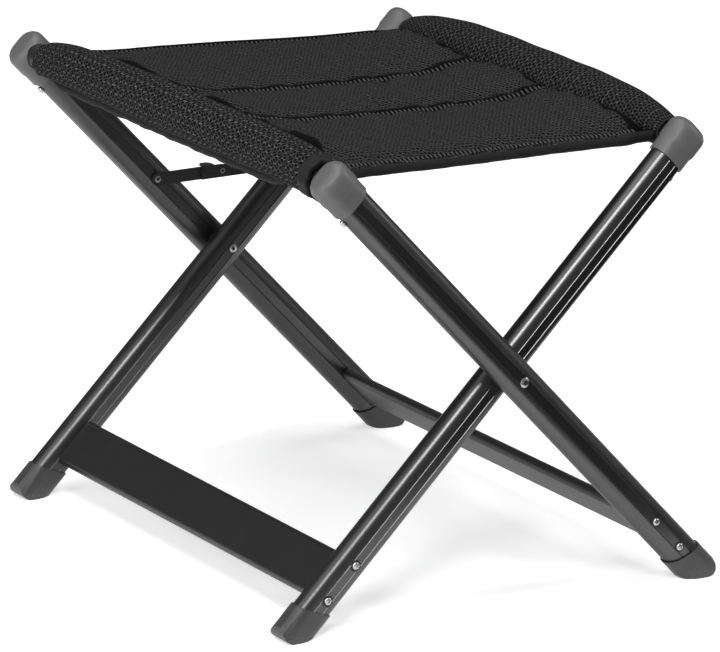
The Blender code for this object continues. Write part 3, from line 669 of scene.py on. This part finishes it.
def make_panel(finish):
    """Closed padded panel: quilted top, flatter underside and rounded sides."""
    shares = panel_rows()
    rings = [panel_ring(step / PANEL_STEPS, shares) for step in range(PANEL_STEPS + 1)]
    size = len(rings[0])
    flat = [p for ring in rings for p in ring]
    lengths = []
    for ring in rings:
        run, total = [0.0], 0.0
        for a, b in zip(ring, ring[1:] + ring[:1]):
            total += hypot(b[1] - a[1], b[2] - a[2])
            run.append(total)
        lengths.append(run)
    faces, uvs = tube_grid(PANEL_STEPS, size, lambda a, b: (rings[a][b % size][0], lengths[a][b]))
    for i, order in ((0, 1), (PANEL_STEPS, -1)):
        cap = [i * size + j for j in range(size)][::order]
        faces.append(cap)
        uvs += [(rings[i][c % size][1], rings[i][c % size][2]) for c in cap]
    panel = new_piece("seat_panel", [seat_point(*p) for p in flat], faces, finish, uvs)
    # the "seam" attribute holds the share of painted shade at the sewn lines and the end creases
    seam = panel.data.attributes.new("seam", "FLOAT", "POINT")
    seam.data.foreach_set("value", [seam_shade_share(s, y) for s, y, _ in flat])
    outward(panel, triangulate=True)
    return panel


PIN_REACH = 0.0062
END_PINS = 0.004
UNDERSIDE_PIN = 0.6
PUFF_FRAMES = 18
PUFF_CAP = 0.0018
PUFF_CLOTH = {"quality": 5, "mass": 0.4, "tension_stiffness": 12.0, "compression_stiffness": 12.0,
              "shear_stiffness": 6.0, "bending_stiffness": 0.6, "use_pressure": True,
              "uniform_pressure_force": 4.0, "shrink_min": -0.035, "vertex_group_mass": "sewn"}


def puff(panel):
    """Lets pressure and cloth tension wrinkle the padding between its sewn lines, by PUFF_CAP at most."""
    mesh = panel.data
    rest = np.array([v.co for v in mesh.vertices], float)
    group = panel.vertex_groups.new(name="sewn")
    for vertex in mesh.vertices:
        offset = Vector(vertex.co) - OUTER_RAIL
        s, y, h = offset.dot(ALONG), offset.y, offset.dot(LIFT)
        sewn = min(abs(y - line) for line in seam_lines(s)) < PIN_REACH
        beyond = abs(y) > half_width(s) - EDGE_SEAM
        at_end = s < PANEL_START + END_PINS or s > PANEL_END - END_PINS
        below = h < PANEL_TOP - sag(s, y) - 0.8 * PANEL_THICKNESS
        weight = 1.0 if sewn or beyond or at_end else UNDERSIDE_PIN if below else 0.0
        group.add([vertex.index], weight, "REPLACE")
    cloth = panel.modifiers.new("puff", "CLOTH")
    for key, value in PUFF_CLOTH.items():
        setattr(cloth.settings, key, value)
    cloth.settings.effector_weights.gravity = 0.0
    cloth.collision_settings.use_collision = False
    cloth.collision_settings.use_self_collision = False
    scene = bpy.context.scene
    for step in range(1, PUFF_FRAMES + 1):
        scene.frame_set(step)
    evaluated = panel.evaluated_get(bpy.context.evaluated_depsgraph_get())
    moved = np.array([v.co for v in evaluated.data.vertices], float)
    panel.modifiers.remove(cloth)
    scene.frame_set(1)
    shift = moved - rest
    size = np.linalg.norm(shift, axis=1)
    keep = np.where(size > 1e-9, PUFF_CAP * np.tanh(size / PUFF_CAP) / np.maximum(size, 1e-9), 0.0)
    result = rest + shift * keep[:, None]
    mesh.vertices.foreach_set("co", result.astype(np.float32).ravel())
    mesh.update()


def bend_with_seat(piece):
    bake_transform(piece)


# Binding tape round the panel's side: (out, up, 1 on its outer face), from its top edge round.
TAPE_SECTION = ((-0.0034, 0.0004, 1), (-0.0022, 0.0006, 1), (-0.0008, 0.0004, 1), (0.0007, -0.0012, 1),
                (0.0015, -0.0040, 1), (0.0017, -0.0062, 1), (0.0014, -0.0086, 1), (0.0002, -0.0112, 1),
                (-0.0030, -0.0126, 1), (-0.0075, -0.0130, 1), (-0.0075, -0.0118, 0), (-0.0030, -0.0112, 0),
                (-0.0010, -0.0092, 0), (-0.0006, -0.0060, 0), (-0.0010, -0.0028, 0), (-0.0020, -0.0014, 0),
                (-0.0034, -0.0008, 0))
TAPE_TALL = (0.72, 0.96)  # height of the tape on the near and far side, as a share of its section
TAPE_BELOW = 0.0012  # top of the tape below the panel's nominal top
TAPE_RISE = 0.0022  # cloth coordinate from one point of the section to the next
TAPE_INSET = 0.0060  # the tape follows the sag this far inside the panel's side


def make_binding(name, side, finish):
    """Smooth tape wrapped round the panel's side, over its top and bottom edges."""
    far = int(side > 0.0)
    tall = TAPE_TALL[far]
    rings = []
    for step in range(PANEL_STEPS + 1):
        width = half_width(panel_along(step / PANEL_STEPS, 0.0))
        s = panel_along(step / PANEL_STEPS, width)
        wobble = 0.00035 * sin(s * 130.0 + side) + 0.00025 * sin(s * 310.0)
        top = PANEL_TOP - EDGE_DROOP[far] - sag(s, side * (width - TAPE_INSET)) - TAPE_BELOW
        rings.append([(s, side * (width + out + wobble * outer), top + up * (tall if up < 0.0 else 1.0))
                      for out, up, outer in TAPE_SECTION])
    size = len(TAPE_SECTION)
    faces, uvs = tube_grid(PANEL_STEPS, size, lambda a, b: (rings[a][0][0], b * TAPE_RISE))
    for i in (0, PANEL_STEPS):
        faces.append([i * size + j for j in range(size)])
        uvs += [(y, h) for _, y, h in rings[i]]
    tape = new_piece(name, [seat_point(*p) for ring in rings for p in ring], faces, finish, uvs)
    outward(tape)
    bend_with_seat(tape)
    return tape


STITCH_LENGTH = 0.0112
STITCH_WIDTH = 0.0017
STITCH_HEIGHT = 0.0015
STITCH_PITCH = 0.0043
STITCH_ENDS = (0.008, 0.006)  # from the panel's start and end to the first and past the last stitch
STITCH_LEAN = 0.35  # how far a stitch slants along the seam for each unit across it
STITCH_SIDES = 6
# (along, thickness) as shares of a stitch's length and width
STITCH_FORM = ((-0.5, 0.35), (-0.28, 0.9), (0.0, 1.0), (0.28, 0.9), (0.5, 0.35))


def add_stitch(points, faces, centre, direction, normal):
    """Adds one stitch: six-sided, rounded and tapered towards both ends."""
    first = len(points)
    side = direction.cross(normal)
    for along, swell in STITCH_FORM:
        for corner in range(STITCH_SIDES):
            angle = 2 * pi * corner / STITCH_SIDES
            offset = side * (cos(angle) * STITCH_WIDTH / 2 * swell)
            offset += normal * (sin(angle) * STITCH_HEIGHT / 2 * swell)
            points.append(centre + direction * (along * STITCH_LENGTH) + offset)
    last = first + (len(STITCH_FORM) - 1) * STITCH_SIDES
    for start in range(first, last, STITCH_SIDES):
        for corner in range(STITCH_SIDES):
            a, b = start + corner, start + (corner + 1) % STITCH_SIDES
            faces.append([a, b, b + STITCH_SIDES, a + STITCH_SIDES])
    faces.append([first + c for c in range(STITCH_SIDES)])
    faces.append([last + c for c in range(STITCH_SIDES)])


def make_stitching(finish):
    """Slanted stitches along both channels and both edge seams."""
    # name, which of the sewn lines, height above the groove
    for label, line, proud in (("channel_near", 1, 0.0013), ("channel_far", 2, 0.0013),
                               ("edge_near", 0, 0.0011), ("edge_far", 3, 0.0003)):
        points, faces = [], []
        s = PANEL_START + STITCH_ENDS[0]
        while s < PANEL_END - STITCH_ENDS[1]:
            y = seam_lines(s)[line]
            centre = seat_point(s, y, panel_top(s, y) + proud)
            slope = (panel_top(s + 0.002, y) - panel_top(s - 0.002, y)) / 0.004
            direction = ALONG * STITCH_LEAN + Vector((0.0, 1.0, 0.0)) + LIFT * slope * STITCH_LEAN
            direction.normalize()
            normal = LIFT - direction * LIFT.dot(direction)
            add_stitch(points, faces, centre, direction, normal.normalized())
            s += STITCH_PITCH
        rows = new_piece("stitching_" + label, points, faces, finish)
        outward(rows)
        bend_with_seat(rows)


# ---- bolsters

RAIL_CLEARANCE = 0.0112  # inner radius of the sleeves
OUTER_FAR_GAP = 0.0080
BOLSTER_RING = 56
BOLSTER_STEPS = 96
BOLSTER_LIP = 0.0012
BOLSTER_PAST = 0.0010  # how far each bolster reaches past its CAD piece
OUTER_PINCH = (0.0136, 0.0022)  # radius of the pinched ends, and how much more at the near one
INNER_PINCH = 0.0125
OUTER_POWER = 7.0  # the higher, the longer a bolster stays full towards its ends
INNER_POWER = 3.6
GATHERS = 0.0007  # height of the gathers at the ends
SWELLS = 0.00045  # slow unevenness of the padding
BOLSTER_GIRTH = 0.021  # radius that stands for a bolster in its cloth coordinates
BAND_GIRTH = 0.014
BAND_LENGTH = 0.0085
# (angle in degrees, radius): 0 faces the seat, 90 is up
OUTER_ANCHORS = ((18.0, 0.0292), (52.0, 0.0240), (90.0, 0.0222), (135.0, 0.0200), (200.0, 0.0165),
                 (262.0, 0.0124), (320.0, 0.0135))
INNER_ANCHORS = ((20.0, 0.0262), (58.0, 0.0272), (95.0, 0.0284), (140.0, 0.0248), (195.0, 0.0180),
                 (262.0, 0.0124), (325.0, 0.0135))


def rounded_profile(anchors, angle):
    """Radius at an angle, eased between (angle in degrees, radius) anchors round the circle."""
    turn = degrees(angle) % 360.0
    spots = list(anchors) + [(anchors[0][0] + 360.0, anchors[0][1])]
    if turn < spots[0][0]:
        turn += 360.0
    for (low, a), (high, b) in zip(spots[:-1], spots[1:]):
        if low <= turn <= high:
            return a + (b - a) * (0.5 - 0.5 * cos(pi * (turn - low) / (high - low)))
    return anchors[0][1]


def lens(u, power):
    """Fullness along a bolster: one in the middle, zero at both ends."""
    return max(0.0, 1.0 - abs(u) ** power) ** 0.80


def outer_radius(angle, u, y):
    pinched = OUTER_PINCH[0] + OUTER_PINCH[1] * smooth_step((-u - 0.75) / 0.2)
    return bolster_radius(OUTER_ANCHORS, pinched, lens(u, OUTER_POWER), angle, u, y)


def inner_radius(angle, u, y):
    return bolster_radius(INNER_ANCHORS, INNER_PINCH, lens(u, INNER_POWER), angle, u, y)


def bolster_radius(anchors, pinched, full, angle, u, y):
    """Radius between a pinched end and the full section, with gathers at the ends and slow swells."""
    radius = pinched + (rounded_profile(anchors, angle) - pinched) * full
    creases = sin(angle * 9.0 + 2.0 * u) * exp(-(1.0 - abs(u)) * 16.0)
    slow = sin(angle * 2.0 + y * 41.0) * sin(y * 67.0 + 1.3)
    radius += GATHERS * creases + SWELLS * slow * full
    return max(radius, RAIL_CLEARANCE + 0.0010)


def sleeve_ring(radius_at, ends, y, out=0.0, shift=0.0):
    """Ring of (radius, angle, y) at y, moved outwards by out and along the rail by shift."""
    u = 2.0 * (y - ends[0]) / (ends[1] - ends[0]) - 1.0
    angles = [2 * pi * corner / BOLSTER_RING for corner in range(BOLSTER_RING)]
    return [(radius_at(angle, u, y) + out, angle, y + shift) for angle in angles]


def make_sleeve(name, rail, side, rings, girth, finish):
    """Closed sleeve about a rail; side is 1 if the seat lies towards +ALONG, else -1."""
    points = []
    for ring in rings:
        for radius, angle, y in ring:
            across = ALONG * (side * radius * cos(angle)) + LIFT * (radius * sin(angle))
            points.append(rail + across + Vector((0.0, y, 0.0)))
    turn = girth * 2 * pi / BOLSTER_RING
    faces, uvs = torus_grid(rings, lambda a, b: (turn * b, rings[a % len(rings)][0][2]))
    sleeve = new_piece(name, points, faces, finish, uvs)
    outward(sleeve)
    return sleeve


def make_bolster(name, rail, ends, radius_at, side, finish):
    """Padded sleeve round a rail. Angles run from the seat side (0) over the top (90)."""
    length = ends[1] - ends[0]
    rings = [sleeve_ring(radius_at, ends, ends[0] + length * step / BOLSTER_STEPS)
             for step in range(BOLSTER_STEPS + 1)]
    bore = [[(RAIL_CLEARANCE, a, y) for _, a, y in ring] for ring in (rings[-1], rings[0])]
    lip_far = [((r + RAIL_CLEARANCE) / 2, a, y + BOLSTER_LIP) for r, a, y in rings[-1]]
    lip_near = [((r + RAIL_CLEARANCE) / 2, a, y - BOLSTER_LIP) for r, a, y in rings[0]]
    return make_sleeve(name, rail, side, rings + [lip_far] + bore + [lip_near], BOLSTER_GIRTH, finish)


def bolster_reach(node):
    low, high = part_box(node)
    return (high.y - low.y) / 2 + BOLSTER_PAST


def make_bolsters(outer_finish, inner_finish, hem_finish):
    """Both bolsters with their hems, and the band round the outer one's near end."""
    reach = bolster_reach("outer_bolster")
    outer_ends = (-reach, reach - OUTER_FAR_GAP)
    outer = make_bolster("bolster_outer", OUTER_RAIL, outer_ends, outer_radius, 1.0, outer_finish)
    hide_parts("outer_bolster")
    band = make_band("bolster_outer_end_band", OUTER_RAIL, outer_ends, outer_radius, hem_finish)
    for piece in (outer, band):
        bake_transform(piece)
    reach = bolster_reach("inner_bolster")
    inner = make_bolster("bolster_inner", INNER_RAIL, (-reach, reach), inner_radius, -1.0, inner_finish)
    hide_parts("inner_bolster")
    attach(inner, "inner_frame")
    make_hem("bolster_outer_hem", OUTER_RAIL, 1.0, 0.176, hem_finish, "outer_frame")
    make_hem("bolster_inner_hem", INNER_RAIL, -1.0, 0.150, hem_finish, "inner_frame")


def make_band(name, rail, ends, radius_at, finish):
    """Smooth tape sewn round the near end of a bolster, just outside its fabric."""
    # (out, along) from the bolster's near end: round the end, along the outside and back inside
    outline = [(-0.0036, -0.0026), (0.0001, -0.0026), (0.0009, -0.0018)]
    outline += [(0.0009, BAND_LENGTH * share) for share in (0.0, 0.35, 0.7)] + [(0.0008, BAND_LENGTH)]
    outline += [(-0.0004, BAND_LENGTH * share) for share in (1.0, 0.5, 0.0)] + [(-0.0006, -0.0014)]
    outline += [(-0.0036, -0.0014)]
    rings = [sleeve_ring(radius_at, ends, ends[0] + max(0.0, along), out, min(0.0, along))
             for out, along in outline]
    return make_sleeve(name, rail, 1.0, rings, BAND_GIRTH, finish)


HEM_STEPS = 90
HEM_THICKNESS = 0.0012
HEM_ROW = 0.003  # cloth coordinate from one row of the hem to the next
HEM_SECTION = ((-0.0095, -0.0085), (-0.0110, -0.0110), (-0.0112, -0.0135), (-0.0106, -0.0158))


def make_hem(name, rail, side, reach, finish, body):
    """Folded hem left hanging under a bolster, with a slightly wavy lower edge."""
    points = []
    top = HEM_SECTION[0][1]
    for step in range(HEM_STEPS + 1):
        y = -reach + 2 * reach * step / HEM_STEPS
        ends = smooth_step((reach - abs(y)) / 0.02)
        wave_down = 0.00035 * sin(y * 150.0) + 0.00025 * sin(y * 331.0 + 1.0)
        outer_line, inner_line = [], []
        for index, (across, up) in enumerate(HEM_SECTION):
            share = index / (len(HEM_SECTION) - 1)
            drop = (up - top) * (0.45 + 0.55 * ends) + wave_down * share
            place = rail + ALONG * (side * across) + LIFT * (top + drop) + Vector((0.0, y, 0.0))
            outer_line.append(place)
            inner_line.append(place + ALONG * (side * HEM_THICKNESS))
        points += outer_line + inner_line[::-1]
    size = 2 * len(HEM_SECTION)
    faces, uvs = tube_grid(HEM_STEPS, size, lambda a, b: (a * 2 * reach / HEM_STEPS, b * HEM_ROW))
    for i in (0, HEM_STEPS):
        faces.append([i * size + j for j in range(size)])
        uvs += [(0.0, j * HEM_ROW) for j in range(size)]
    hem = new_piece(name, points, faces, finish, uvs)
    outward(hem)
    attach(hem, body)


# ---- screws and rivets

HEAD_RADIUS = 0.0033
HEAD_HEIGHT = 0.0018  # from the seat of a screw head to the top of its CAD piece
HEAD_STEPS = 28
# (share of the radius, height): from the top of the dome to the shank's end
HEAD_PROFILE = ((0.0, 0.0019), (0.35, 0.00188), (0.62, 0.00172), (0.83, 0.00132), (0.96, 0.0007),
                (1.0, 0.0), (0.45, -0.0002), (0.45, -0.0040), (0.0, -0.0040))
CROSS_ARM = (0.0032, 0.0008, 0.0024)
CROSS_HEIGHT = 0.0018
# (share of the head's radius, height) round the section of a ring
RING_PROFILE = ((0.80, -0.00028), (1.42, -0.00028), (1.38, 0.00022), (1.04, 0.00034), (0.80, 0.00030))
RING_STEPS = 32
RIVET_CORE_SHARE = 0.50
CORE_PROFILE = ((0.0, 0.00004), (0.5, 0.00008), (0.92, 0.00012), (1.0, -0.0002), (0.0, -0.0002))
CORE_STEPS = 24
SHARP_ANGLE = radians(35.0)


def cross_cutter():
    """Two crossed bars that cut a Phillips recess."""
    solid = bmesh.new()
    for turn in (0.0, pi / 2):
        size = Matrix.Diagonal((*CROSS_ARM, 1.0))
        place = Matrix.Translation((0.0, 0.0, CROSS_HEIGHT)) @ Matrix.Rotation(turn, 4, "Z")
        bmesh.ops.create_cube(solid, size=1.0, matrix=place @ size)
    mesh = bpy.data.meshes.new("cross")
    solid.to_mesh(mesh)
    solid.free()
    return mesh


def phillips_head(node, place, axis, finish, body):
    """Pan head with a cross recess in place of a CAD screw, built about +Z and turned along axis."""
    head = new_piece(node + "_head", *lathe(HEAD_PROFILE, HEAD_RADIUS, HEAD_STEPS), finish)
    outward(head)
    cutter = add_object("cross_cutter", CROSS)
    modifier = head.modifiers.new("cross", "BOOLEAN")
    modifier.object = cutter
    modifier.solver = "EXACT"
    modifier.use_self = True
    made = bpy.data.meshes.new_from_object(head.evaluated_get(bpy.context.evaluated_depsgraph_get()))
    head.modifiers.clear()
    head.data = made
    made.shade_smooth()
    made.set_sharp_from_angle(angle=SHARP_ANGLE)
    bpy.data.objects.remove(cutter)
    driven = Matrix.Rotation(0.4 + 9.0 * abs(place[2]), 4, "Z")  # each screw stopped at its own angle
    made.transform(Matrix.Translation(place) @ facing(axis) @ driven)
    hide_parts(node)
    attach(head, body)


def make_screws(steel, recess):
    """Cross-recessed heads in place of the CAD screws, with a ring of painted shadow round those at the
    crossbars.
    """
    for label, body in (("outer", "outer_frame"), ("inner", "inner_frame")):
        for side, place in ((-1.0, "near"), (1.0, "far")):
            for level in ("upper", "lower"):
                node = f"{label}_crossbar_screw_{place}_{level}"
                low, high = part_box(node)
                seat = high.y - HEAD_HEIGHT if side > 0 else low.y + HEAD_HEIGHT
                spot = Vector(((low.x + high.x) / 2, seat, (low.z + high.z) / 2))
                phillips_head(node, spot, (0.0, side, 0.0), steel, body)
                # ring of painted shadow in the gap under the head
                make_ring(node + "_ring", spot, (0.0, side, 0.0), recess, body)
            node = f"{label}_connector_screw_{place}"
            low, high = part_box(node)
            away = Vector((-1.0, 0.0, -1.0)) if label == "outer" else Vector((1.0, 0.0, -1.0))
            away.normalize()
            top = max(Vector(v.co).dot(away) for v in NODES[node].data.vertices)
            centre = (low + high) / 2
            spot = centre + away * (top - HEAD_HEIGHT - centre.dot(away))
            phillips_head(node, spot, away, steel, body)


def make_rivet_hollow_shades(recess):
    """Discs of painted shade in the hollow centres of the rivets that face the near side."""
    for node, body in (("pivot_rivet_near", "outer_frame"), ("brace_rivet_outer", "outer_frame"),
                       ("brace_rivet_middle", "brace_inner"), ("brace_rivet_inner", "inner_frame")):
        low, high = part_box(node)
        radius = (high.x - low.x) / 2 * RIVET_CORE_SHARE
        spot = Vector(((low.x + high.x) / 2, low.y, (low.z + high.z) / 2))
        disc = lathe(CORE_PROFILE, radius, CORE_STEPS)
        dark_piece(node + "_core", *disc, spot, (0.0, -1.0, 0.0), recess, body)


def dark_piece(name, points, faces, place, axis, finish, body):
    """Small dark solid of painted shade, built about +Z, moved to its place and turned along axis."""
    piece = new_piece(name, points, faces, finish)
    piece.data.transform(Matrix.Translation(place) @ facing(axis))
    outward(piece)
    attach(piece, body)
    return piece


def make_ring(name, place, axis, finish, body):
    """Thin dark ring round a screw head: the shadowed gap under its rim."""
    circles = [circle(HEAD_RADIUS * share, height, RING_STEPS) for share, height in RING_PROFILE]
    sections = list(zip(*circles))
    faces, _ = torus_grid(sections, lambda a, b: (0.0, 0.0))
    points = [p for section in sections for p in section]
    ring = dark_piece(name, points, faces, place, axis, finish, body)
    ring.data.set_sharp_from_angle(angle=SHARP_ANGLE)


# ---- smooth shading of the hard parts

WELD_DISTANCE = 0.000002
SMOOTH_ANGLE = radians(32.0)  # sharper edges stay sharp


def smooth_group():
    """Geometry nodes that shade a faceted solid smooth and keep its real edges sharp."""
    group = bpy.data.node_groups.new("smooth_by_angle", "GeometryNodeTree")
    group.interface.new_socket("Geometry", in_out="INPUT", socket_type="NodeSocketGeometry")
    group.interface.new_socket("Geometry", in_out="OUTPUT", socket_type="NodeSocketGeometry")
    nodes, links = group.nodes, group.links
    weld = nodes.new("GeometryNodeMergeByDistance")
    weld.inputs["Distance"].default_value = WELD_DISTANCE
    faces = nodes.new("GeometryNodeSetShadeSmooth")
    edges = nodes.new("GeometryNodeSetShadeSmooth")
    edges.domain = "EDGE"
    angle = nodes.new("GeometryNodeInputMeshEdgeAngle")
    gentle = nodes.new("FunctionNodeCompare")
    gentle.operation = "LESS_THAN"
    gentle.inputs["B"].default_value = SMOOTH_ANGLE
    links.new(nodes.new("NodeGroupInput").outputs[0], weld.inputs["Geometry"])
    links.new(weld.outputs["Geometry"], faces.inputs["Geometry"])
    links.new(faces.outputs["Geometry"], edges.inputs["Geometry"])
    links.new(angle.outputs["Unsigned Angle"], gentle.inputs["A"])
    links.new(gentle.outputs["Result"], edges.inputs["Shade Smooth"])
    links.new(edges.outputs["Geometry"], nodes.new("NodeGroupOutput").inputs[0])
    return group


def smooth_hard_parts():
    """Smooth shading of every CAD piece, with normals weighted so that flat faces stay flat."""
    group = smooth_group()
    for node in NODES.values():
        node.modifiers.new("smooth_by_angle", "NODES").node_group = group
        weighted = node.modifiers.new("flat_faces_stay_flat", "WEIGHTED_NORMAL")
        weighted.keep_sharp = True


# ---- assembly

LEG_LEAN = {"outer": radians(45.0), "inner": radians(-45.0)}


def assign(finish, *names):
    for name in names:
        for slot in NODES[name].material_slots:
            slot.material = finish


def paired(pattern):
    return [pattern.format(side=side) for side in ("near", "far")]


def finish_hard_parts(steel):
    connector = moulded("connector_finish", 0.096, 1100.0, 0.32, 0.52)
    boot = boot_finish()
    plug = moulded("plug_finish", 0.018, 1800.0, 0.5, 0.7)
    for label in ("outer", "inner"):
        metal = anodised(f"{label}_leg_metal", LEG_LEAN[label], 0.105, 0.25)
        bar = anodised(f"{label}_bar_metal", pi / 2, 0.095, 0.34)
        assign(metal, *paired(label + "_leg_{side}"))
        assign(bar, f"{label}_crossbar", f"{label}_rail")
        assign(connector, *paired(label + "_connector_{side}"))
        assign(boot, *paired(label + "_boot_{side}"))
        assign(plug, *paired(label + "_crossbar_plug_{side}"))
    assign(plug, *paired("pivot_spacer_{side}"))
    assign(steel, *paired("pivot_rivet_{side}"))
    assign(steel, "brace_rivet_outer", "brace_rivet_middle", "brace_rivet_inner")
    assign(coated_steel(), "brace_link_outer", "brace_link_inner")


make_camera()
make_stage()
CROSS = cross_cutter()
smooth_hard_parts()
STEEL = bright_steel()
RECESS_SHADE = painted_recess_shade()
finish_hard_parts(STEEL)
make_screws(STEEL, RECESS_SHADE)
make_rivet_hollow_shades(RECESS_SHADE)

seat_mesh = spacer_mesh("seat_mesh", spacing=0.0037, hole_share=0.50, rib=0.0032,
                        rib_turn=radians(-39.0), level=0.018, turn=radians(-9.0), sewn=True)
outer_mesh = spacer_mesh("outer_bolster_mesh", spacing=0.0042, hole_share=0.12, rib=0.0063, rib_turn=0.0,
                         level=0.016, chevron=0.75)
inner_mesh = spacer_mesh("inner_bolster_mesh", spacing=0.0038, hole_share=0.45, rib=0.0053,
                         rib_turn=pi / 2, level=0.0145)
tape = binding_weave()
panel = make_panel(seat_mesh)
puff(panel)
bend_with_seat(panel)
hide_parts("seat_panel_outer", "seat_panel_inner")
for side, place in ((-1.0, "near"), (1.0, "far")):
    strip = make_binding("seat_binding_" + place, side, tape)
make_stitching(stitch_thread())
make_bolsters(outer_mesh, inner_mesh, tape)
